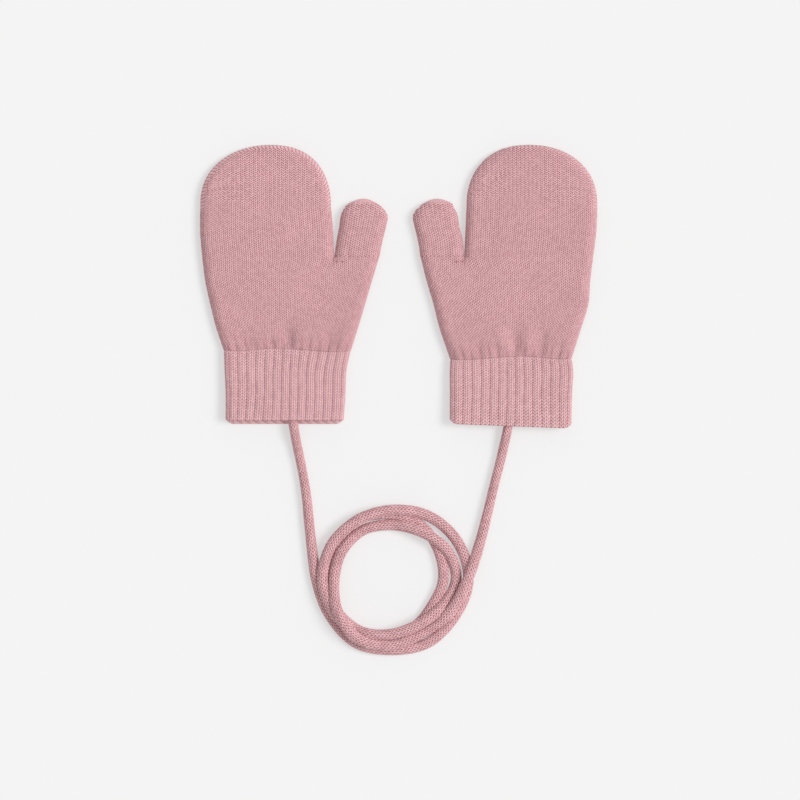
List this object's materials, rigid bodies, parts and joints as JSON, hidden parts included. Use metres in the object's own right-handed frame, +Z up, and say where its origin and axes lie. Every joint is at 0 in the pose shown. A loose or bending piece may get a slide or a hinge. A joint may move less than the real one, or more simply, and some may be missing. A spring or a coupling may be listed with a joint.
{
  "type": "pair of baby mittens on a joining cord",
  "caption": "Knitted baby mittens laid flat, with thumbs and open ribbed cuffs, joined by a long knitted cord that lies in a loose coil below them.",
  "frame": {"origin": "on the surface the mittens lie on, under the middle of the pair's own bounding box, without the cord", "axes": "+Z up from the surface, +Y towards the fingertips, +X from the left mitten to the right one"},
  "size_m": [0.1845, 0.2393, 0.0088],
  "materials": {
    "hand_knit": "fine stocking-stitch knit in dusty pink yarn, matt with a soft nap",
    "rib_knit": "one-by-one rib knit in the same dusty pink yarn",
    "cord_knit": "round knitted cord in the same yarn, a little lighter"
  },
  "bodies": {
    "root": {"left_hand_back": "hand_knit", "left_hand_palm": "hand_knit", "left_thumb": "hand_knit", "left_cuff": "rib_knit", "right_hand_back": "hand_knit", "right_hand_palm": "hand_knit", "right_thumb": "hand_knit", "right_cuff": "rib_knit", "cord_left": "cord_knit", "cord_coil": "cord_knit", "cord_right": "cord_knit"}
  },
  "joints": []
}
